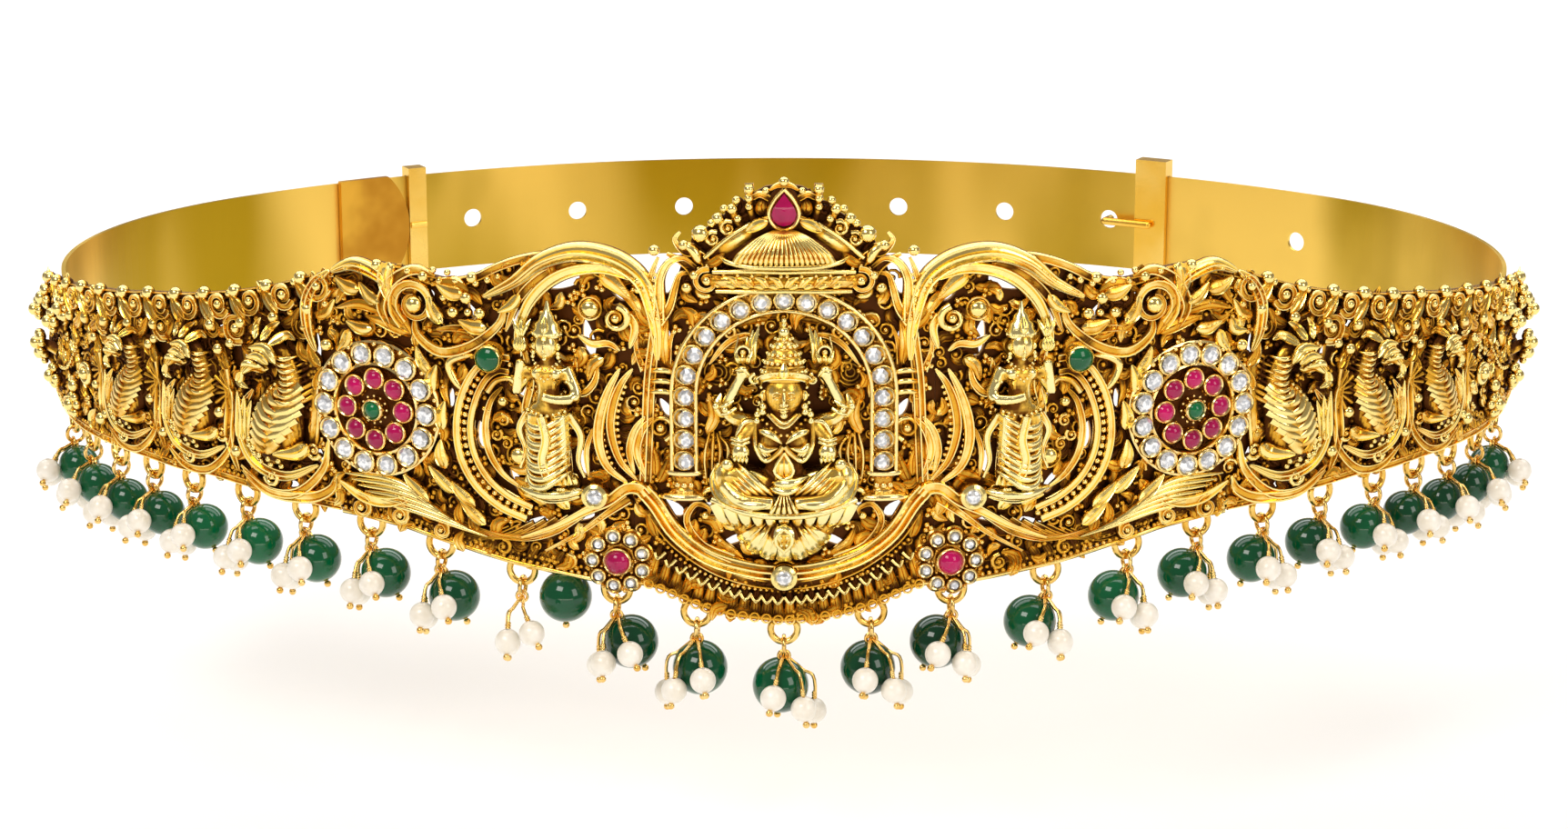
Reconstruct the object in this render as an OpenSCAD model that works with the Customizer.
// Waist belt: a pierced cast front on an oval of sheet strap, with stones and hanging beads.
// The front faces -Y, the strap's mid height is z = 0 and the origin is the middle of the waist.
// Tables hold places as shares: a of half the front, b of the rise above or the fall below mid height.

/* [Waist] */
// Width of the oval inside the strap, side to side
waist_w = 276; // [240:2:330]
// Depth of the oval inside the strap, front to back
waist_d = 200; // [180:2:230]
// Radius of the oval at its two ends
end_r = 75; // [60:1:80]

/* [Strap] */
// Height of the strap
strap_h = 21; // [16:0.5:26]
// Thickness of the strap's sheet
strap_t = 0.8; // [0.6:0.1:1.2]
// Diameter of the adjusting holes
hole_d = 4; // [2.5:0.1:5]
// Distance between adjusting holes
hole_pitch = 23.8; // [15:0.2:26]
// Number of adjusting holes in the middle strap
hole_count = 7; // [3:1:8]
// Length by which the straps run in behind the front
lap = 24; // [12:1:40]

/* [Clasps] */
// Distance of each clasp from the middle of the back, along the strap
clasp_at = 83; // [60:1:110]
// Width of the buckle bar along the strap
buckle_w = 7; // [5:0.5:10]
// Height of the buckle bar
buckle_h = 26; // [24:0.5:32]
// Wall of the buckle and of the keeper
clasp_wall = 1.3; // [0.8:0.1:2]
// Length of the prong between the buckle and its hole
prong_l = 6.5; // [5:0.5:9]
// Thickness of the prong
prong_t = 1.6; // [1:0.1:2]
// Width of the keeper along the strap
keeper_w = 4; // [3:0.5:6]
// Length of the round-ended tab
tab_l = 16; // [12:1:24]
// Amount by which tab and keeper stand past the strap's edges
tab_over = 0.6; // [0.2:0.1:1.5]

/* [Front] */
// Length of half the front, along the strap
front_half = 172; // [150:1:184]
// Height of the crest above mid height
rise = 45; // [36:1:54]
// Depth of the petals below mid height
fall = 32; // [27:1:38]
// Half width of the centre panel
centre_half = 25; // [24:0.5:27]
// Width of each scroll panel
scroll_w = 53; // [48:0.5:56]
// Thickness of the pierced plate
plate_t = 1.2; // [0.8:0.1:1.6]
// Height of the raised scrolls above the plate
relief = 2; // [1.2:0.1:3]
// Width of a main scroll
rib_w = 2; // [1.4:0.1:2.6]
// Diameter of a berry
berry_d = 2.4; // [1.6:0.1:3]

/* [Figures] */
// Height of the seated figure above its lotus
figure_h = 30; // [26:0.5:32]
// Height of a standing attendant
attendant_h = 31; // [27:0.5:33]
// Height of the first swan
swan_h = 32; // [28:0.5:34]

/* [Arch] */
// Width of the arch across the middles of its stones
arch_w = 32.6; // [31:0.2:34]
// Height of the arch's topmost stone above mid height
arch_top = 24.7; // [23:0.1:26]
// Diameter of an arch stone
arch_stone_d = 2.8; // [2.2:0.1:3]
// Number of arch stones
arch_stones_n = 21; // [15:2:21]
// Height of the pillar feet
foot_h = 4.6; // [3:0.2:6]
// Thickness of the arch's strip
arch_t = 1.5; // [1:0.1:2]
// Width of the strip outside its cups, on each side
arch_rim = 0.3; // [0.2:0.05:0.4]

/* [Medallions] */
// Outside diameter of a medallion
medallion_d = 24; // [22:0.2:25]
// Diameter of the stones in its rim
rim_stone_d = 3.2; // [2.4:0.1:3.3]
// Number of rim stones on the left
rim_stones_left = 14; // [10:1:14]
// Number of rim stones on the right
rim_stones_right = 15; // [10:1:15]
// Diameter of a petal ruby
petal_ruby_d = 3.1; // [2.4:0.1:3.2]
// Number of petal rubies
petal_rubies = 8; // [6:1:8]
// Diameter of the middle emerald
heart_d = 3; // [2:0.1:3.4]
// Thickness of the floor under the petals
floor_t = 0.8; // [0.6:0.1:1.2]

/* [Rosettes and single stones] */
// Outside diameter of a rosette
rosette_d = 11.6; // [10.8:0.1:12]
// Diameter of the small stones round a rosette
rosette_stone_d = 2; // [1.4:0.1:2.1]
// Number of small stones round a rosette
rosette_stones_n = 9; // [6:1:9]
// Diameter of the ruby in a rosette
rosette_ruby_d = 4; // [3:0.1:4.4]
// Diameter of a single white stone
accent_d = 2.8; // [2:0.1:3.4]
// Width of a side emerald
emerald_w = 3.8; // [3:0.1:4.4]
// Height of a side emerald
emerald_h = 4.7; // [3.4:0.1:5.2]
// Width of the crest ruby
crest_ruby_w = 4.1; // [3.4:0.1:4.6]
// Thickness of a setting's wall
bezel_t = 0.35; // [0.25:0.05:0.5]
// Height of a setting above its seat
bezel_h = 1.2; // [0.9:0.1:1.6]
// Depth by which a cup is let into the strip or rim below it
cup_sink = 0.3; // [0.2:0.05:0.4]

/* [Drops] */
// Middle diameter of a hanging ring
ring_d = 4.5; // [3.8:0.1:5]
// Wire of a hanging ring
ring_wire = 1.2; // [0.8:0.1:1.4]
// Middle diameter of the small ring below
link_d = 3.2; // [2.8:0.1:3.8]
// Wire of the small ring
link_wire = 0.7; // [0.5:0.05:0.9]
// Diameter of a green bead at the middle of the front
bead_d = 9.6; // [8:0.1:10.5]
// Diameter of a green bead at the ends of the front
end_bead_d = 7.4; // [6:0.1:8]
// Diameter of a pearl
pearl_d = 4.4; // [3.6:0.1:4.8]
// Diameter of a head pin
pin_d = 0.6; // [0.4:0.05:0.8]

/* [Fits] */
// Gap between pieces that seat on each other
seat_gap = 0.15; // [0.1:0.05:0.3]
// Gap round a pin in a bead and round a stone in its setting
bore_gap = 0.1; // [0.1:0.02:0.2]
// Gap between neighbouring panels, on each side of their joint
joint_gap = 0.3; // [0.2:0.05:0.5]

/* [Hidden] */

// Oval of four arcs: half width and depth, centre of the end arcs, centre and radius of the long arcs
half_w = waist_w / 2;
half_d = waist_d / 2;
end_x = half_w - end_r;
long_y = (end_x * end_x - pow(half_d - end_r, 2)) / (2 * (half_d - end_r));
long_r = half_d + long_y;
turn_a = atan2(end_x, long_y);
long_s = long_r * turn_a * PI / 180;
quarter_s = long_s + end_r * (90 - turn_a) * PI / 180;

// Depths from the strap's inner face: the plate's two faces and the seat of what lies on it
plate_in = strap_t + seat_gap;
plate_out = plate_in + plate_t;
plate_mid = plate_in + plate_t / 2;
seat_d = plate_out + seat_gap;
swan_s = centre_half + scroll_w;
// Spacing of the points along the plate's two edges
edge_step = 6.5;
// Turn of the plate between two of its straight steps, in degrees
wall_turn = 5;

// Edges of the plate along half the front: share a of half the front, share b of the rise or the fall
TOP_EDGE = [[0, 0.97], [0.02, 0.96], [0.04, 0.9], [0.062, 0.84], [0.082, 0.78], [0.096, 0.7], [0.103, 0.6],
    [0.11, 0.555], [0.12, 0.555], [0.13, 0.62], [0.14, 0.66], [0.151, 0.64], [0.163, 0.62], [0.186, 0.67],
    [0.215, 0.7], [0.244, 0.69], [0.273, 0.65], [0.308, 0.58], [0.337, 0.57], [0.372, 0.6], [0.407, 0.61],
    [0.442, 0.58], [0.483, 0.53], [0.523, 0.48], [0.564, 0.44], [0.605, 0.41], [0.651, 0.38], [0.698, 0.36],
    [0.756, 0.33], [0.808, 0.31], [0.872, 0.28], [0.93, 0.25], [0.965, 0.23], [1, 0.2]];
LOW_EDGE = [[0, -0.98], [0.047, -0.95], [0.081, -0.9], [0.11, -0.83], [0.128, -0.79], [0.163, -0.78],
    [0.198, -0.76], [0.233, -0.73], [0.27, -0.7], [0.302, -0.66], [0.343, -0.61], [0.384, -0.56],
    [0.43, -0.53], [0.465, -0.52], [0.5, -0.51], [0.535, -0.49], [0.576, -0.48], [0.616, -0.46],
    [0.657, -0.47], [0.721, -0.45], [0.779, -0.44], [0.843, -0.43], [0.901, -0.4], [0.959, -0.32],
    [1, -0.25]];

// Places of the settings, as shares a and b
MEDALLION_AT = [0.407, 0.05];
ROSETTE_AT = [0.16, -0.66];
EMERALD_AT = [0.284, 0.29];
SIDE_STONE_AT = [0.18, -0.3];
LOW_STONE_AT = [0, -0.715];
CREST_RUBY_AT = [0, 0.867];
ATTENDANT_AT = [0.224, -0.26];
FIGURE_AT = [0, -0.27];

// Places of the drops along half the front, as shares of it
DROP_AT = [0, 0.085, 0.164, 0.26, 0.346, 0.424, 0.503, 0.578, 0.655, 0.718, 0.778, 0.843, 0.903];
// Shift of each green bead towards the middle, as a share of its own diameter
BEAD_SHIFT = [0.06, 0.05, 0.26, 0.3, 0.26, 0.3, 0.25, 0.28, 0.3, 0.25, 0.2, 0.25, 0.2];

function side_sign(v) = v < 0 ? -1 : 1;
// Heading of the outward face at arc length s from the middle of the front, in degrees
function heading(s) =
    let (t = abs(s))
    side_sign(s) * (t <= long_s ? t / long_r * 180 / PI
        : t <= 2 * quarter_s - long_s ? turn_a + (t - long_s) / end_r * 180 / PI
        : 180 - (2 * quarter_s - t) / long_r * 180 / PI);
// Point of the strap's inner face at arc length s
function on_oval(s) =
    let (t = abs(s), a = abs(heading(s)))
    t <= long_s ? [side_sign(s) * long_r * sin(a), long_y - long_r * cos(a)]
    : t <= 2 * quarter_s - long_s ? [side_sign(s) * (end_x + end_r * sin(a)), -end_r * cos(a)]
    : [side_sign(s) * long_r * sin(a), -long_y - long_r * cos(a)];
// Point at arc length s, height z and depth d outwards
function wrap(s, z, d) =
    let (p = on_oval(s), a = heading(s))
    [p[0] + d * sin(a), p[1] - d * cos(a), z];

// Arc length and height of a place given in shares
function place(p) = [p[0] * front_half, p[1] * (p[1] > 0 ? rise : fall)];
function top_z(s) = lookup(abs(s) / front_half, TOP_EDGE) * rise;
function low_z(s) = lookup(abs(s) / front_half, LOW_EDGE) * fall;

// Smooth curve through points of any dimension, with n steps between two of them
function blend(a, b, c, d, t) =
    0.5 * (2 * b + (c - a) * t + (2 * a - 5 * b + 4 * c - d) * t * t + (3 * b - a - 3 * c + d) * t * t * t);
function curve(p, n) =
    let (m = len(p))
    concat([for (i = [0 : m - 2], k = [0 : n - 1])
        blend(p[max(i - 1, 0)], p[i], p[i + 1], p[min(i + 2, m - 1)], k / n)], [p[m - 1]]);
// Local frame on the front: x along the belt, y up, z outwards
module lay(s, z, d) {
    translate(wrap(s, z, d)) rotate([90, 0, heading(s)]) children();
}

// Rod swept along rows of [s, z, d, half width, half height], with a section of the given sides
module strand(rows, sides) {
    n = len(rows);
    points = [for (i = [0 : n - 1])
        let (step = rows[min(i + 1, n - 1)] - rows[max(i - 1, 0)], l = norm([step[0], step[1]]), r = rows[i])
        for (j = [0 : sides - 1])
        let (a = 90 + 360 * j / sides, w = r[3] * cos(a), h = r[4] * sin(a))
        wrap(r[0] - step[1] / l * w, r[1] + step[0] / l * w, r[2] + h)];
    faces = concat(
        [[for (j = [0 : sides - 1]) j]],
        [for (i = [0 : n - 2], j = [0 : sides - 1]) let (a = i * sides + j, b = i * sides + (j + 1) % sides)
            [a, a + sides, b + sides, b]],
        [[for (j = [sides - 1 : -1 : 0]) (n - 1) * sides + j]]);
    polyhedron(points, faces);
}

// Raised scroll with a ridge along a list of places in mm, tapering to its end; its foot is sunk in the plate
module scroll(line, w = rib_w, h = relief, tip = 0.35) {
    n = len(line) - 1;
    strand([for (i = [0 : n]) let (t = 1 - (1 - tip) * i / n)
        [line[i][0], line[i][1], plate_mid + h * t / 2, w * 0.58 * t, h * t]], 3);
}

module granule(s, z, d, size) {
    translate(wrap(s, z, d)) sphere(d = size, $fn = 5);
}

module leaf_outline(length, width) {
    polygon([[0, 0], [0.4 * length, width / 2], [length, 0], [0.4 * length, -width / 2]]);
}
// Pointed leaf with a raised middle, from its root, with its length, width and height
module leaf(s, z, angle, length, width, height = relief) {
    lay(s, z, plate_mid) rotate(angle) hull() {
        linear_extrude(height = 0.1) leaf_outline(length, width);
        translate([0.35 * length, 0, 0])
            cylinder(d1 = 0.3 * width, d2 = 0, h = height + plate_t / 2, $fn = 3);
    }
}

// Arc lengths from s0 to s1 in equal steps, and on the front in equal turns of the wall,
// which straddle the middle so that no step lies on the line where the two halves meet
function even_steps(s0, s1, step) =
    let (n = ceil((s1 - s0) / step)) [for (i = [0 : n]) s0 + (s1 - s0) * i / n];
function length_at(a) =
    side_sign(a) * (min(abs(a), turn_a) * long_r + max(abs(a) - turn_a, 0) * end_r) * PI / 180;
function turn_steps(s0, s1, turn) = concat([s0],
    [for (k = [floor(heading(s0) / turn - 0.5) + 1 : ceil(heading(s1) / turn - 0.5) - 1])
        length_at((k + 0.5) * turn)], [s1]);
// Wall that follows the oval through a list of arc lengths, between two depths and two heights
module wall(at, d0, d1, z0, z1) {
    line = concat([for (s = at) wrap(s, 0, d0)], [for (i = [len(at) - 1 : -1 : 0]) wrap(at[i], 0, d1)]);
    translate([0, 0, z0]) linear_extrude(height = z1 - z0)
        polygon([for (p = line) [p[0], p[1]]]);
}

// Outline given in places, pushed square through the front at the given arc length
module through(outline, s_mid) {
    a = heading(s_mid);
    rotate([90, 0, a]) linear_extrude(height = 2 * long_r, center = true)
        polygon([for (q = outline)
            let (p = wrap(q[0], q[1], plate_mid)) [p[0] * cos(a) + p[1] * sin(a), q[1]]]);
}

// Leaf-shaped opening: shares a and b of its middle, length and width as shares of the rise, angle
function opening(row) =
    let (c = place([row[0], row[1]]), l = row[2] * rise / 2, w = row[3] * rise / 2, a = row[4])
    [for (k = [[1, 0], [0.4, 1], [-0.4, 1], [-1, 0], [-0.4, -1], [0.4, -1]])
        c + [l * k[0] * cos(a) - w * k[1] * sin(a), l * k[0] * sin(a) + w * k[1] * cos(a)]];

// Pierced plate between two arc lengths, with its openings
module plate(s0, s1, openings) {
    at = even_steps(s0, s1, edge_step);
    low = [for (s = at) [s, low_z(s)]];
    top = [for (i = [len(at) - 1 : -1 : 0]) [at[i], top_z(at[i])]];
    mid = (s0 + s1) / 2;
    intersection() {
        wall(turn_steps(s0 - 1, s1 + 1, wall_turn), plate_in, plate_out, -fall, rise);
        difference() {
            through(concat(low, top), mid);
            for (row = openings) through(opening(row), mid);
        }
    }
}
// Keeps what lies between two arc lengths, so that neighbouring panels stay apart
module between(s0, s1) {
    reach = 2 * rise;
    intersection() {
        children();
        through([[s0, -reach], [s1, -reach], [s1, reach], [s0, reach]], (s0 + s1) / 2);
    }
}

// Height of a hanging ring's middle at arc length s
function ring_z(s) = low_z(s) - ring_d / 2 + ring_wire * 0.4;
module hanging_ring(s) {
    lay(s, ring_z(s), plate_mid)
        rotate_extrude($fn = 10) translate([ring_d / 2, 0]) circle(d = ring_wire, $fn = 5);
}

// Diameter across the corners of a regular polygon that just holds a circle
function around(d, sides) = d / cos(180 / sides);
// Clears a round seat on the plate for a setting of the given diameter
module round_seat(at, size) {
    p = place(at);
    lay(p[0], p[1], plate_out) cylinder(d = around(size + 2 * seat_gap, 16), h = rise, $fn = 16);
}

// Settings and stones, each standing on the local plane z = 0
module cup(size, height = bezel_h, sides = 24) {
    difference() {
        cylinder(d = around(size + 2 * (bore_gap + bezel_t), sides), h = height, $fn = sides);
        translate([0, 0, height * 0.3])
            cylinder(d = around(size + 2 * bore_gap, sides), h = height, $fn = sides);
    }
}
module cut_stone(size, height = bezel_h) {
    w = size * cos(22.5);
    translate([0, 0, height * 0.3 + bore_gap]) intersection_for (i = [0 : 3])
        rotate(45 * i) rotate([90, 0, 0]) linear_extrude(height = 2 * size, center = true)
            polygon([[-w / 2, 0], [w / 2, 0], [w / 2, height * 0.5], [w * 0.3, height * 0.95],
                [-w * 0.3, height * 0.95], [-w / 2, height * 0.5]]);
}
module cabochon(size, height = bezel_h) {
    dome = size * 0.3;
    r = (size * size / 4 + dome * dome) / (2 * dome);
    translate([0, 0, height * 0.3 + bore_gap]) {
        cylinder(d = size, h = height * 0.6, $fn = 24);
        translate([0, 0, height * 0.6]) intersection() {
            cylinder(d = size, h = dome, $fn = 24);
            translate([0, 0, dome - r]) sphere(r = r, $fn = 24);
        }
    }
}

// Strap and clasps
back_s = 2 * quarter_s;
clasp_s = back_s - clasp_at;
slot_t = strap_t + 2 * seat_gap;
// Length of one straight step of a strap round the oval
strap_step = 2.5;
module band(s0, s1) {
    wall(even_steps(s0, s1, strap_step), 0, strap_t, -strap_h / 2, strap_h / 2);
}
module hole_at(s, z = 0) {
    translate(wrap(s, z, strap_t / 2)) rotate([90, 0, heading(s)])
        cylinder(d = hole_d, h = 6 * strap_t, center = true, $fn = 24);
}
module strap_left() {
    color("goldenrod") mirror([1, 0, 0]) band(front_half - lap, clasp_s - seat_gap);
}
module strap_right() {
    color("goldenrod") difference() {
        band(front_half - lap, clasp_s - seat_gap);
        hole_at(back_s - clasp_at - 1.45 * hole_pitch);
    }
}
// Middle strap: its holes are spaced from the one that the prong holds
module strap_middle() {
    prong_s = back_s - clasp_at + buckle_w / 2 + prong_l;
    color("goldenrod") difference() {
        band(clasp_s + seat_gap, 2 * back_s - clasp_s - seat_gap);
        for (i = [0 : hole_count - 1]) let (s = prong_s + i * hole_pitch)
            hole_at(s <= back_s ? s : s - 2 * back_s);
    }
}
// Box round the meeting strap ends, with a slot for them: w along the strap, from z0 to z1, walls t
module box_keeper(s, w, z0, z1, t) {
    lay(s, 0, strap_t / 2) difference() {
        translate([-w / 2, z0, -slot_t / 2 - t]) cube([w, z1 - z0, slot_t + 2 * t]);
        translate([-w, -strap_h / 2 - seat_gap, -slot_t / 2]) cube([2 * w, strap_h + 2 * seat_gap, slot_t]);
    }
}
module buckle() {
    color("gold") box_keeper(clasp_s, buckle_w, -strap_h / 2 - 1.2 * clasp_wall,
        buckle_h - strap_h / 2 - 1.2 * clasp_wall, clasp_wall);
}
module buckle_prong() {
    color("gold") lay(clasp_s, 0, strap_t / 2) {
        translate([0, 0, -slot_t / 2 - clasp_wall - seat_gap - prong_t / 2]) {
            rotate([0, 90, 0]) cylinder(d = prong_t, h = buckle_w / 2 + prong_l, $fn = 24);
            sphere(d = prong_t, $fn = 24);
            translate([buckle_w / 2 + prong_l, 0, 0]) {
                sphere(d = prong_t, $fn = 24);
                cylinder(d = prong_t, h = clasp_wall + prong_t / 2 + slot_t, $fn = 24);
            }
        }
    }
}
module left_keeper() {
    over = strap_h / 2 + tab_over + clasp_wall;
    color("gold") mirror([1, 0, 0]) {
        box_keeper(clasp_s, keeper_w, -over, over, clasp_wall);
        lay(clasp_s, 0, strap_t / 2) translate([0, 0, -slot_t / 2 - clasp_wall])
            rotate([0, 90, 0]) cylinder(d = clasp_wall, h = keeper_w * 0.9, center = true, $fn = 24);
    }
}
// Round-ended plate on the strap's inner face, ending at the keeper
module left_tab() {
    h = strap_h / 2 + tab_over;
    s1 = clasp_s - keeper_w / 2 - seat_gap;
    color("gold") mirror([1, 0, 0]) intersection() {
        wall(even_steps(s1 - tab_l, s1, strap_step), -seat_gap - clasp_wall, -seat_gap, -h, h);
        lay(s1 - tab_l / 2, 0, 0) translate([tab_l / 2 - 1.4 * h, 0, 0])
            cylinder(r = 1.4 * h, h = 2 * h, center = true, $fn = 60);
    }
}

// Openings of the three kinds of panel: a, b, length, width, angle
CENTRE_OPENINGS = [
    [0.112, 0.42, 0.16, 0.04, 90], [0.125, 0.2, 0.16, 0.045, 80], [0.115, -0.05, 0.12, 0.045, 60],
    [0.06, 0.38, 0.14, 0.06, 60], [0.066, 0.14, 0.14, 0.06, 100], [0.083, -0.47, 0.14, 0.05, 30]];
SCROLL_OPENINGS = [
    [0.168, 0.54, 0.1, 0.045, 70], [0.2, 0.6, 0.14, 0.05, 15], [0.243, 0.57, 0.18, 0.06, -20],
    [0.19, 0.38, 0.14, 0.05, 90], [0.168, 0.02, 0.14, 0.045, 100], [0.262, 0.38, 0.16, 0.055, 80],
    [0.252, -0.15, 0.14, 0.055, 110], [0.192, -0.1, 0.1, 0.05, 60], [0.302, 0.44, 0.16, 0.05, 60],
    [0.3, 0, 0.18, 0.05, 85], [0.296, -0.26, 0.16, 0.055, 60], [0.262, -0.5, 0.2, 0.045, -15]];
SWAN_OPENINGS = [
    [0.476, 0.22, 0.16, 0.05, 90], [0.482, -0.2, 0.12, 0.05, 70], [0.562, 0.14, 0.16, 0.055, 80],
    [0.61, 0.28, 0.1, 0.045, -10], [0.668, 0.16, 0.14, 0.05, 75], [0.676, -0.16, 0.12, 0.05, 85],
    [0.768, 0.04, 0.14, 0.05, 80], [0.815, -0.15, 0.12, 0.055, 30],
    [0.862, 0.05, 0.12, 0.055, 60]];

// Scrolls: width as a share of the main scroll, then places in shares a and b
CENTRE_SCROLLS = [
    [1.2, [[0.128, -0.3], [0.132, 0.05], [0.127, 0.4], [0.139, 0.66]]],
    [0.9, [[0.133, 0.3], [0.12, 0.5], [0.11, 0.545]]],
    [1.1, [[0.122, -0.35], [0.108, -0.6], [0.06, -0.76], [0, -0.82]]],
    [0.8, [[0.108, -0.4], [0.094, -0.56], [0.05, -0.68], [0, -0.72]]],
    [0.9, [[0.045, -0.64], [0.078, -0.54], [0.092, -0.4], [0.08, -0.36], [0.074, -0.44]]],
    [1.3, [[0.1, 0.58], [0.101, 0.68], [0.088, 0.76], [0.072, 0.75], [0.068, 0.69]]],
    [1.1, [[0.086, 0.66], [0.062, 0.8], [0.022, 0.93]]]];
SCROLL_SCROLLS = [
    [1.5, [[0.284, 0.29], [0.294, 0.45], [0.27, 0.6], [0.226, 0.68], [0.182, 0.62], [0.168, 0.46],
        [0.176, 0.3]]],
    [0.9, [[0.27, 0.44], [0.235, 0.58], [0.195, 0.55], [0.182, 0.42]]],
    [1.2, [[0.18, -0.3], [0.21, -0.5], [0.26, -0.46], [0.3, -0.2], [0.306, 0.08], [0.284, 0.29]]],
    [1, [[0.15, -0.2], [0.156, 0.1], [0.15, 0.35], [0.15, 0.63]]],
    [0.9, [[0.156, -0.1], [0.178, 0.02], [0.18, 0.17], [0.168, 0.12]]],
    [1, [[0.186, -0.36], [0.2, -0.55], [0.24, -0.64], [0.3, -0.62], [0.38, -0.48], [0.44, -0.46]]],
    [0.9, [[0.2, -0.4], [0.25, -0.54], [0.32, -0.5], [0.345, -0.32]]],
    [1.2, [[0.3, 0.3], [0.31, 0.48], [0.345, 0.56], [0.4, 0.58], [0.44, 0.56]]],
    [1, [[0.308, 0.1], [0.326, 0.3], [0.34, 0.44], [0.37, 0.45]]],
    [0.9, [[0.14, -0.47], [0.17, -0.38], [0.18, -0.3]]]];
SWAN_SCROLLS = [
    [1.1, [[0.462, 0.46], [0.49, 0.5], [0.51, 0.42], [0.498, 0.34]]],
    [1, [[0.54, 0.44], [0.58, 0.42], [0.6, 0.34], [0.588, 0.28]]],
    [1, [[0.64, 0.38], [0.675, 0.34], [0.68, 0.26]]],
    [1, [[0.72, 0.34], [0.755, 0.3], [0.76, 0.2]]],
    [1, [[0.78, 0.3], [0.82, 0.24], [0.83, 0.12], [0.812, 0.04]]],
    [1, [[0.85, 0.26], [0.88, 0.08], [0.92, -0.24], [0.82, -0.32]]]];

// Main scrolls are drawn with twice the steps of the finer ones
module scrolls(table) {
    for (row = table) scroll(curve([for (p = row[1]) place(p)], row[0] > 1 ? 2 : 1), rib_w * row[0]);
}
// Berries round a middle one, standing off the plate on a stem
module berries(at, height, count) {
    p = place(at);
    lay(p[0], p[1], plate_mid) cylinder(d1 = 1.4 * berry_d, d2 = 0.8 * berry_d, h = height, $fn = 5);
    lay(p[0], p[1], plate_mid + height) {
        sphere(d = 1.1 * berry_d, $fn = 5);
        for (i = [1 : count]) rotate(360 * i / count)
            translate([0.72 * berry_d, 0, -0.45 * berry_d]) sphere(d = 0.9 * berry_d, $fn = 5);
    }
}

// Crest: ribbed dome over a bulging band that bridges its two horns
module crest_form() {
    dome_z = rise * 0.72;
    dome_r = rise * 0.19;
    for (i = [0 : 6]) leaf(0, dome_z, i * 30, dome_r, dome_r * 0.5, 2.4 * relief);
    band = place([0.07, 0.665]);
    strand([for (r = [[-1, 0.028, 1], [-0.5, 0.048, 2], [0.5, 0.048, 2], [1, 0.028, 1]])
        [band[0] * r[0], band[1], plate_mid, rise * r[1], relief * r[2]]], 6);
}
module crest_berry(s) {
    granule(s, top_z(s) + berry_d * 0.3, plate_mid, berry_d);
}
module crest_berries() {
    for (a = [0.028, 0.055, 0.083]) crest_berry(a * front_half);
}
// Fan of petals between the crescent and the lower edge
module petals() {
    for (a = [0.014, 0.042, 0.07, 0.098]) let (s = a * front_half, z = low_z(s))
        leaf(s * 0.92, z + fall * 0.16, -90 + s * 1.2, fall * 0.16, fall * 0.12, relief * 0.8);
}
// Leaves: shares a and b of the root, angle, length and width as shares of the rise
CENTRE_LEAVES = [[0.13, 0.5, 60, 0.14, 0.06], [0.128, 0.05, 110, 0.14, 0.07], [0.135, -0.42, 60, 0.12, 0.06]];
module centre_half_relief() {
    scrolls(CENTRE_SCROLLS);
    crest_berries();
    petals();
    for (row = CENTRE_LEAVES) let (p = place(row)) leaf(p[0], p[1], row[2], row[3] * rise, row[4] * rise);
}
module centre_panel() {
    edge = centre_half - joint_gap;
    left_openings = [for (r = CENTRE_OPENINGS) [-r[0], r[1], r[2], r[3], 180 - r[4]]];
    color("darkgoldenrod") {
        difference() {
            between(-edge, edge) {
                plate(-edge, edge, concat(CENTRE_OPENINGS, left_openings));
                centre_half_relief();
                mirror([1, 0, 0]) centre_half_relief();
                crest_form();
                crest_berry(0);
                for (i = [-1 : 1]) hanging_ring(i * DROP_AT[1] * front_half);
            }
            round_seat(LOW_STONE_AT, accent_d + 2 * (bore_gap + bezel_t));
            for (side = [-1, 1]) round_seat([side * ROSETTE_AT[0], ROSETTE_AT[1]], rosette_d);
            at_place(CREST_RUBY_AT, plate_out) linear_extrude(height = rise)
                teardrop(crest_ruby_w + 2 * bezel_t);
        }
        at_place(LOW_STONE_AT, plate_mid) cup(accent_d, bezel_h + plate_t / 2, 12);
        at_place(CREST_RUBY_AT, plate_mid) difference() {
            linear_extrude(height = 2 * bezel_h) teardrop(crest_ruby_w + 2 * (bore_gap + bezel_t));
            translate([0, 0, bezel_h]) linear_extrude(height = 2 * bezel_h)
                teardrop(crest_ruby_w + 2 * bore_gap);
        }
    }
}
module at_place(at, depth) {
    p = place(at);
    lay(p[0], p[1], depth) children();
}
module teardrop(w) {
    circle(d = w, $fn = 12);
    polygon([[-0.404 * w, 0.294 * w], [0.404 * w, 0.294 * w], [0, 0.85 * w]]);
}
module crest_ruby() {
    color("crimson") at_place(CREST_RUBY_AT, plate_mid + bezel_h + bore_gap) intersection() {
        linear_extrude(height = 1.6 * bezel_h) teardrop(crest_ruby_w);
        translate([0, 0.2 * crest_ruby_w, -crest_ruby_w])
            sphere(r = crest_ruby_w + 1.6 * bezel_h, $fn = 48);
    }
}

// Arch: a straight-legged round arch of stones on two turned feet
arch_r = arch_w / 2;
arch_band = arch_stone_d + 2 * (bore_gap + bezel_t + arch_rim);
arch_mid = arch_top - arch_r;
foot_top = place([0, -0.165])[1];
module arch_shape(r) {
    translate([0, arch_mid]) intersection() {
        circle(r = r, $fn = 96);
        translate([-r, 0]) square([2 * r, r]);
    }
    translate([-r, foot_top]) square([2 * r, arch_mid - foot_top]);
}
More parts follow.
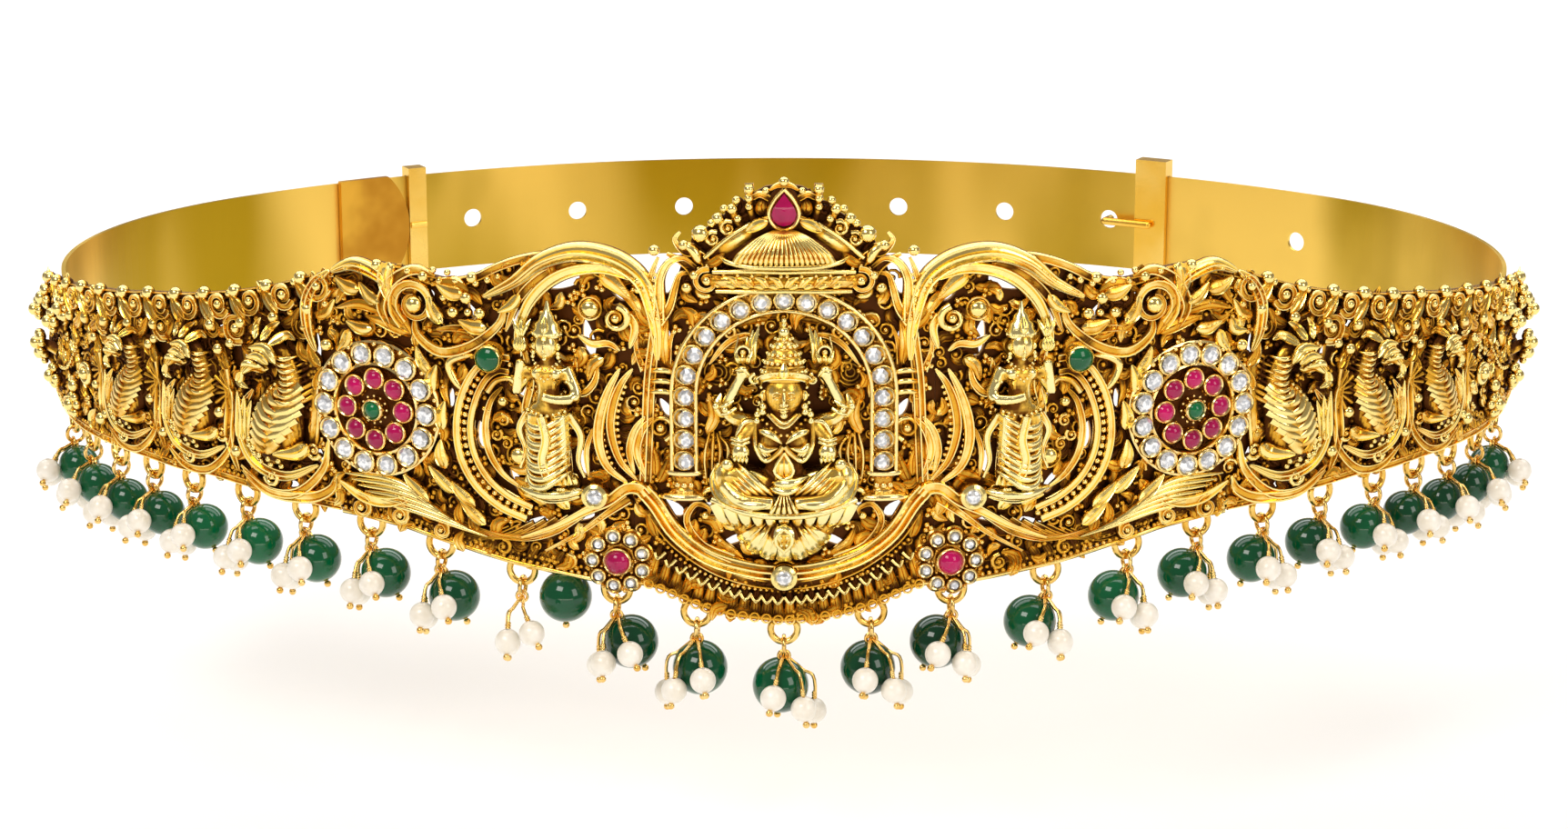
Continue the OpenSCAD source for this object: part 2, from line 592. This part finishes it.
// Place of stone i of n on the arch's middle line, in the flat frame
function arch_spot(i) =
    let (leg = arch_mid - foot_top - 0.55 * arch_band, half = arch_r * PI / 2 + leg,
        l = (2 * i / (arch_stones_n - 1) - 1) * half, t = abs(l), a = min(t / arch_r * 180 / PI, 90))
    [side_sign(l) * arch_r * sin(a), arch_mid + arch_r * cos(a) - max(t - arch_r * PI / 2, 0)];
module stone_arch() {
    color("gold") lay(0, 0, seat_d) {
        linear_extrude(height = arch_t) difference() {
            arch_shape(arch_r + arch_band / 2);
            arch_shape(arch_r - arch_band / 2);
        }
        for (i = [0 : arch_stones_n - 1]) translate([arch_spot(i)[0], arch_spot(i)[1], arch_t - cup_sink])
            cup(arch_stone_d, bezel_h + cup_sink);
        for (side = [-1, 1], row = [[0.12, 1.55], [0.4, 1.2], [0.66, 1.45], [0.92, 1.15]])
            translate([side * arch_r, foot_top - row[0] * foot_h, 0])
                foot_ring(row[1] * arch_band, foot_h * 0.3);
    }
}
// One ring of a pillar foot: a half round bar across, flat at the back
module foot_ring(w, h) {
    translate([-w / 2, -h / 2, 0]) cube([w, h, arch_t]);
    translate([0, 0, arch_t]) rotate([0, 90, 0]) cylinder(d = h, h = w, center = true, $fn = 24);
}
module arch_stones() {
    color("white") lay(0, 0, seat_d)
        for (i = [0 : arch_stones_n - 1]) translate([arch_spot(i)[0], arch_spot(i)[1], arch_t - cup_sink])
            cut_stone(arch_stone_d, bezel_h + cup_sink);
}
module accent_stones() {
    color("white") {
        at_place(LOW_STONE_AT, plate_mid) cut_stone(accent_d, bezel_h + plate_t / 2);
        for (side = [-1, 1]) at_place([side * SIDE_STONE_AT[0], SIDE_STONE_AT[1]], plate_mid)
            cut_stone(accent_d, bezel_h + plate_t / 2);
    }
}

// Figures are swept from chains. Columns: across, up, out, half width, half height, all shares of the height
module chain(at, h, rows, sides) {
    p = place(at);
    strand([for (r = rows) [p[0] + r[0] * h, p[1] + r[1] * h, seat_d + r[2] * h, r[3] * h, r[4] * h]], sides);
}
// Keeps what stands in front of the seat, so that a figure's back is flat
module flat_back(at, h) {
    intersection() {
        union() children();
        at_place(at, seat_d) translate([-h, -h, 0]) cube([2 * h, 3 * h, h]);
    }
}
// Leaf on a figure, placed in shares of its height
module lobe(at, h, x, y, out, angle, length, width) {
    at_place(at, seat_d) translate([x * h, y * h, 0]) rotate(angle) hull() {
        linear_extrude(height = 0.1) leaf_outline(length * h, width * h);
        translate([0.35 * length * h, 0, 0]) cylinder(d1 = 0.3 * width * h, d2 = 0, h = out * h, $fn = 3);
    }
}
FIGURE_BODY = [[0, -0.02, 0.06, 0.2, 0.1], [0, 0.1, 0.09, 0.13, 0.1], [0, 0.2, 0.1, 0.09, 0.08],
    [0, 0.36, 0.1, 0.14, 0.1], [0, 0.44, 0.09, 0.1, 0.07], [0, 0.49, 0.09, 0.045, 0.05]];
FIGURE_HEAD = [[0, 0.47, 0.1, 0.05, 0.05], [0, 0.54, 0.13, 0.085, 0.09], [0, 0.62, 0.13, 0.1, 0.1],
    [0, 0.68, 0.12, 0.12, 0.11], [0, 0.76, 0.1, 0.1, 0.1], [0, 0.78, 0.1, 0.075, 0.08],
    [0, 0.87, 0.1, 0.06, 0.07], [0, 0.89, 0.1, 0.04, 0.05], [0, 0.98, 0.09, 0.01, 0.01]];
FIGURE_LEG = [[0.34, 0.03, 0.1, 0.07, 0.09], [0.16, 0.02, 0.17, 0.065, 0.07],
    [-0.06, -0.01, 0.19, 0.04, 0.05]];
FIGURE_LOWER_ARM = [[0.12, 0.42, 0.09, 0.05, 0.06], [0.25, 0.24, 0.12, 0.04, 0.05],
    [0.27, 0.1, 0.2, 0.04, 0.04]];
FIGURE_RAISED_ARM = [[0.12, 0.42, 0.07, 0.045, 0.05], [0.29, 0.37, 0.08, 0.035, 0.04],
    [0.32, 0.54, 0.1, 0.03, 0.035], [0.33, 0.62, 0.1, 0.055, 0.06], [0.34, 0.73, 0.08, 0.01, 0.02]];
FIGURE_SEAT = [[-0.4, -0.02, 0.04, 0.03, 0.05], [-0.3, -0.03, 0.08, 0.06, 0.1],
    [0.3, -0.03, 0.08, 0.06, 0.1], [0.4, -0.02, 0.04, 0.03, 0.05]];
module seated_figure() {
    h = figure_h;
    color("darkgoldenrod") flat_back(FIGURE_AT, h) {
        chain(FIGURE_AT, h, FIGURE_BODY, 6);
        chain(FIGURE_AT, h, FIGURE_HEAD, 6);
        chain(FIGURE_AT, h, FIGURE_SEAT, 5);
        for (side = [0, 1]) mirror([side, 0, 0]) {
            chain(FIGURE_AT, h, FIGURE_LEG, 6);
            chain(FIGURE_AT, h, FIGURE_LOWER_ARM, 5);
            chain(FIGURE_AT, h, FIGURE_RAISED_ARM, 5);
        }
        for (i = [-3 : 3]) lobe(FIGURE_AT, h, 0.1 * i, -0.04, 0.14, -90 - 6 * i, 0.34, 0.14);
        lobe(FIGURE_AT, h, 0, 0.54, 0.06, 90, 0.34, 0.4);
    }
}
ATTENDANT_BODY = [[0, 0.01, 0.05, 0.09, 0.06], [0, 0.1, 0.07, 0.13, 0.09],
    [0, 0.42, 0.08, 0.085, 0.08], [0, 0.6, 0.08, 0.1, 0.09], [0, 0.67, 0.08, 0.11, 0.07],
    [0, 0.7, 0.08, 0.04, 0.04], [0, 0.77, 0.09, 0.07, 0.07], [0, 0.83, 0.08, 0.085, 0.08],
    [0, 0.98, 0.07, 0.012, 0.012]];
ATTENDANT_BENT_ARM = [[-0.09, 0.65, 0.08, 0.04, 0.04], [-0.16, 0.5, 0.1, 0.035, 0.035],
    [-0.03, 0.53, 0.18, 0.03, 0.03]];
ATTENDANT_RAISED_ARM = [[0.09, 0.65, 0.08, 0.04, 0.04], [0.16, 0.52, 0.1, 0.032, 0.032],
    [0.13, 0.72, 0.12, 0.03, 0.03], [0.13, 0.77, 0.12, 0.045, 0.045], [0.14, 0.87, 0.1, 0.01, 0.02]];
module attendant() {
    h = attendant_h;
    color("darkgoldenrod") flat_back(ATTENDANT_AT, h) {
        chain(ATTENDANT_AT, h, ATTENDANT_BODY, 6);
        chain(ATTENDANT_AT, h, ATTENDANT_BENT_ARM, 6);
        chain(ATTENDANT_AT, h, ATTENDANT_RAISED_ARM, 6);
        for (i = [-1 : 1]) lobe(ATTENDANT_AT, h, 0.04 * i, 0.43, 0.18, -90 + 10 * i, 0.38, 0.09);
        for (side = [-1, 1]) {
            lobe(ATTENDANT_AT, h, side * 0.08, 0.44, 0.12, -90 + side * 16, 0.34, 0.07);
            lobe(ATTENDANT_AT, h, side * 0.045, 0.05, 0.13, -90 + side * 35, 0.09, 0.07);
        }
        lobe(ATTENDANT_AT, h, -0.13, 0.02, 0.07, 0, 0.26, 0.1);
    }
}

// Scroll panel, drawn for the right side: scrolls, leaves and the settings of two stones
SCROLL_LEAVES = [[0.151, 0.48, 80, 0.18, 0.08], [0.33, 0.3, 60, 0.16, 0.08], [0.395, 0.4, 75, 0.18, 0.1],
    [0.318, 0.14, 80, 0.2, 0.09], [0.318, -0.3, 60, 0.18, 0.09], [0.37, -0.44, 165, 0.16, 0.07],
    [0.21, 0.6, -20, 0.14, 0.07], [0.262, -0.04, 100, 0.14, 0.06]];
module scroll_panel(side) {
    s0 = centre_half + joint_gap;
    s1 = swan_s - joint_gap;
    stone_cup = bezel_h + plate_t / 2;
    color("darkgoldenrod") {
        difference() {
            between(s0, s1) {
                plate(s0, s1, SCROLL_OPENINGS);
                scrolls(SCROLL_SCROLLS);
                for (row = SCROLL_LEAVES) let (p = place(row))
                    leaf(p[0], p[1], row[2], row[3] * rise, row[4] * rise);
                if (side < 0) edge_pin();
                for (i = [2 : 5]) hanging_ring(DROP_AT[i] * front_half);
            }
            round_seat(MEDALLION_AT, medallion_d);
            round_seat(ROSETTE_AT, rosette_d);
            round_seat(EMERALD_AT, emerald_h);
            round_seat(SIDE_STONE_AT, accent_d);
            at_place(ATTENDANT_AT, plate_out) translate([-0.19 * attendant_h, -seat_gap, 0])
                cube([0.38 * attendant_h, 1.02 * attendant_h, rise]);
        }
        emerald_cup();
        at_place(SIDE_STONE_AT, plate_mid) cup(accent_d, stone_cup, 12);
    }
}
// Side emerald: an oval, with its setting, drawn larger by a margin all round
emerald_cup_h = 2 * (bezel_h + plate_t / 2);
module emerald_oval(margin, sides) {
    w = emerald_w + 2 * margin;
    scale([1, (emerald_h + 2 * margin) / w]) circle(d = around(w, sides), $fn = sides);
}
module emerald_cup() {
    at_place(EMERALD_AT, plate_mid) difference() {
        linear_extrude(height = emerald_cup_h) emerald_oval(bore_gap + bezel_t, 12);
        translate([0, 0, emerald_cup_h * 0.3]) linear_extrude(height = emerald_cup_h)
            emerald_oval(bore_gap, 12);
    }
}
module emerald() {
    dome = emerald_h * 0.25;
    top = emerald_cup_h * 0.6 + dome;
    r = (emerald_h * emerald_h / 4 + dome * dome) / (2 * dome);
    color("darkgreen") at_place(EMERALD_AT, plate_mid + emerald_cup_h * 0.3 + bore_gap) intersection() {
        linear_extrude(height = top) emerald_oval(0, 24);
        translate([0, 0, top - r]) sphere(r = r, $fn = 48);
    }
}

// Swan with its neck drawn as a table: across, up, half width and half height, as shares of its height
SWAN_FORM = [[0.2, -0.2, 0.1, 0.08], [0.06, -0.26, 0.17, 0.12], [-0.1, -0.12, 0.17, 0.14],
    [-0.12, 0.1, 0.1, 0.12], [-0.02, 0.28, 0.08, 0.11], [0.13, 0.32, 0.085, 0.11],
    [0.22, 0.2, 0.06, 0.09], [0.26, 0, 0.015, 0.03]];
module swan(at, size) {
    p = place(at);
    h = swan_h * size;
    strand([for (r = SWAN_FORM)
        [p[0] + r[0] * h, p[1] + r[1] * h, plate_mid, r[2] * h, r[3] * h + plate_t / 2]], 4);
    leaf(p[0] + 0.04 * h, p[1] - 0.16 * h, 45, 0.3 * h, 0.14 * h, 0.17 * h);
    under = [[-0.26, -0.26], [-0.14, -0.4], [0.06, -0.44], [0.24, -0.34], [0.28, -0.2]];
    scroll([for (q = under) p + q * h], rib_w * size);
}
SWANS = [[0.525, -0.02, 1], [0.637, -0.03, 0.86], [0.742, -0.05, 0.78]];
SWAN_LEAVES = [[0.47, 0.28, 70, 0.16, 0.08], [0.69, 0.22, 50, 0.14, 0.07], [0.79, 0.18, 70, 0.16, 0.07],
    [0.86, 0.14, 60, 0.16, 0.07], [0.975, -0.02, 75, 0.18, 0.08], [0.47, -0.4, 40, 0.14, 0.07]];
// Berry clusters: shares a and b, height over the plate as a share of a berry, berries round the middle one
BERRIES = [[0.95, -0.04, 2.6, 3], [0.905, 0.1, 2, 3]];
module swan_panel() {
    s0 = swan_s + joint_gap;
    color("darkgoldenrod") difference() {
        between(s0, front_half) {
            plate(s0, front_half, SWAN_OPENINGS);
            scrolls(SWAN_SCROLLS);
            for (row = SWANS) swan(row, row[2]);
            for (row = SWAN_LEAVES) let (p = place(row))
                leaf(p[0], p[1], row[2], row[3] * rise, row[4] * rise);
            for (row = BERRIES) berries(row, row[2] * berry_d, row[3]);
            for (i = [6 : 12]) hanging_ring(DROP_AT[i] * front_half);
        }
        round_seat(MEDALLION_AT, medallion_d);
    }
}

// Medallion: rim of stones, sunk floor, ring of petal settings and the middle setting
rim_r = medallion_d / 2 - rim_stone_d / 2 - bezel_t - 2 * bore_gap - 0.1;
petal_r = (petal_ruby_d / 2 + bore_gap + bezel_t) / sin(180 / petal_rubies) * 1.02;
module on_ring(n, r) {
    for (i = [0 : n - 1]) rotate(360 * i / n) translate([r, 0, 0]) children();
}
module medallion(n) {
    at_place(MEDALLION_AT, seat_d) {
        cylinder(d = medallion_d, h = floor_t, $fn = 96);
        difference() {
            cylinder(d = medallion_d, h = 2 * floor_t, $fn = 96);
            cylinder(r = rim_r - rim_stone_d / 2 - bezel_t - bore_gap, h = 3 * floor_t, $fn = 96);
        }
        translate([0, 0, 2 * floor_t - cup_sink]) on_ring(n, rim_r) cup(rim_stone_d, bezel_h);
        translate([0, 0, floor_t / 2]) on_ring(petal_rubies, petal_r) cup(petal_ruby_d, 1.5 * bezel_h);
        translate([0, 0, floor_t / 2]) cup(heart_d, 2.2 * bezel_h);
    }
}
module medallion_stones(n) {
    color("white") at_place(MEDALLION_AT, seat_d + 2 * floor_t - cup_sink)
        on_ring(n, rim_r) cut_stone(rim_stone_d);
}
module medallion_rubies() {
    color("crimson") at_place(MEDALLION_AT, seat_d + floor_t / 2)
        on_ring(petal_rubies, petal_r) cabochon(petal_ruby_d, 1.5 * bezel_h);
}
module medallion_heart() {
    color("darkgreen") at_place(MEDALLION_AT, seat_d + floor_t / 2) cabochon(heart_d, 2.2 * bezel_h);
}

// Rosette: small stones round a ruby
rosette_r = rosette_d / 2 - rosette_stone_d / 2 - bezel_t - bore_gap;
module rosette() {
    color("gold") at_place(ROSETTE_AT, seat_d) {
        cylinder(d = rosette_d, h = floor_t, $fn = 48);
        translate([0, 0, floor_t / 2]) on_ring(rosette_stones_n, rosette_r) cup(rosette_stone_d);
        translate([0, 0, floor_t / 2]) cup(rosette_ruby_d, 1.6 * bezel_h);
    }
}
module rosette_stones() {
    color("white") at_place(ROSETTE_AT, seat_d + floor_t / 2)
        on_ring(rosette_stones_n, rosette_r) cut_stone(rosette_stone_d);
}
module rosette_ruby() {
    color("crimson") at_place(ROSETTE_AT, seat_d + floor_t / 2) cabochon(rosette_ruby_d, 1.6 * bezel_h);
}

// Drops: each is a small ring through the hanging ring, a knot below it, one bead and three pearls on pins.
// All places are in the local frame of the drop, whose zero is the middle of the hanging ring.
knot_r = link_wire;
link_y = -ring_d / 2 + ring_wire / 2 - (link_d - link_wire) / 2 + bore_gap;
knot = [0, link_y - link_d / 2, 0];
function drop_bead_d(i) = bead_d + (end_bead_d - bead_d) * DROP_AT[i];
function bead_spot(i) =
    let (size = drop_bead_d(i), reach = size / 2 + knot_r + bore_gap, a = asin(BEAD_SHIFT[i] * size / reach))
    knot + reach * [-sin(a), -cos(a), 0];
// Pearls round the bead: columns are the turn from outwards along the belt to the front, and the angle up
PEARL_TURNS = [[100, 0], [55, -20], [5, -38]];
function pearl_spot(i, j) =
    let (r = (drop_bead_d(i) + pearl_d) / 2 + 2 * bore_gap, t = PEARL_TURNS[j])
    bead_spot(i) + r * [cos(t[1]) * cos(t[0]), sin(t[1]), cos(t[1]) * sin(t[0])];
function bend_spot(i, j) =
    let (p = pearl_spot(i, j)) [p[0], bead_spot(i)[1] + 0.475 * drop_bead_d(i), p[2]];

module rod(a, b, d) {
    v = b - a;
    translate(a) rotate([0, acos(v[2] / norm(v)), atan2(v[1], v[0])]) cylinder(d = d, h = norm(v), $fn = 24);
}
module drop_frame(i) {
    s = DROP_AT[i] * front_half;
    lay(s, ring_z(s), plate_mid) children();
}
module pin_tip(p) {
    translate(p) sphere(d = 2 * pin_d, $fn = 24);
}
module spray(i, with_bead = true) {
    bead = bead_spot(i);
    out = bead - knot;
    bead_end = bead + out / norm(out) * (drop_bead_d(i) / 2 + pin_d);
    drop_frame(i) {
        translate([0, link_y, 0]) rotate([0, 90, 0])
            rotate_extrude($fn = 36) translate([link_d / 2, 0]) circle(d = link_wire, $fn = 24);
        translate(knot) sphere(r = knot_r, $fn = 24);
        if (with_bead) {
            rod(knot, bead_end, pin_d);
            pin_tip(bead_end);
        }
        for (j = [0 : 2]) {
            bend = bend_spot(i, j);
            foot = pearl_spot(i, j) - [0, pearl_d / 2 + pin_d, 0];
            rod(knot, bend, pin_d);
            translate(bend) sphere(d = 1.4 * pin_d, $fn = 24);
            rod(bend, foot, pin_d);
            pin_tip(foot);
        }
    }
}
module bored_ball(d, axis) {
    difference() {
        sphere(d = d, $fn = 48);
        rod(-axis / norm(axis) * d, axis / norm(axis) * d, pin_d + 2 * bore_gap);
    }
}
module green_bead(i) {
    drop_frame(i) translate(bead_spot(i)) bored_ball(drop_bead_d(i), bead_spot(i) - knot);
}
module pearls(i) {
    drop_frame(i) for (j = [0 : 2]) translate(pearl_spot(i, j)) bored_ball(pearl_d, [0, 1, 0]);
}
// The bead of the left fourth drop hangs by itself from a pin under the plate's edge
PIN_AT = 0.216;
LONE = 3;
function pin_bead_z() = low_z(PIN_AT * front_half) - drop_bead_d(LONE) / 2 - 2 * bore_gap;
module edge_pin() {
    s = PIN_AT * front_half;
    z = pin_bead_z();
    foot = z - drop_bead_d(LONE) / 2 - pin_d;
    lay(s, 0, plate_mid) {
        translate([0, foot, 0]) rotate([-90, 0, 0])
            cylinder(d = pin_d, h = low_z(s) + plate_t - foot, $fn = 8);
        translate([0, foot, 0]) sphere(d = 2 * pin_d, $fn = 8);
    }
}
module pin_bead() {
    lay(PIN_AT * front_half, pin_bead_z(), plate_mid) bored_ball(drop_bead_d(LONE), [0, 1, 0]);
}
last_drop = len(DROP_AT) - 1;
module left() {
    mirror([1, 0, 0]) children();
}

strap_left();
strap_middle();
strap_right();
left_tab();
left_keeper();
buckle();
buckle_prong();
centre_panel();
stone_arch();
seated_figure();
crest_ruby();
arch_stones();
accent_stones();
left() scroll_panel(-1);  // scroll_panel_left
scroll_panel(1);  // scroll_panel_right
left() swan_panel();  // swan_panel_left
swan_panel();  // swan_panel_right
left() attendant();  // attendant_left
attendant();  // attendant_right
color("gold") left() medallion(rim_stones_left);  // medallion_left
color("gold") medallion(rim_stones_right);  // medallion_right
left() medallion_stones(rim_stones_left);  // medallion_stones_left
medallion_stones(rim_stones_right);  // medallion_stones_right
left() medallion_rubies();  // medallion_rubies_left
medallion_rubies();  // medallion_rubies_right
left() medallion_heart();  // medallion_heart_left
medallion_heart();  // medallion_heart_right
left() rosette();  // rosette_left
rosette();  // rosette_right
left() rosette_stones();  // rosette_stones_left
rosette_stones();  // rosette_stones_right
left() rosette_ruby();  // rosette_ruby_left
rosette_ruby();  // rosette_ruby_right
left() emerald();  // emerald_left
emerald();  // emerald_right
color("gold") spray(0);  // spray_middle
color("gold") left()  // sprays_left
    for (i = [1 : last_drop]) spray(i, i != LONE);
color("gold") for (i = [1 : last_drop]) spray(i);  // sprays_right
color("darkgreen") green_bead(0);  // green_bead_middle
color("darkgreen") left() {  // green_beads_left
    for (i = [1 : last_drop]) if (i != LONE) green_bead(i);
    pin_bead();
}
color("darkgreen") for (i = [1 : last_drop]) green_bead(i);  // green_beads_right
color("ivory") pearls(0);  // pearls_middle
color("ivory") left() for (i = [1 : last_drop]) pearls(i);  // pearls_left
color("ivory") for (i = [1 : last_drop]) pearls(i);  // pearls_right
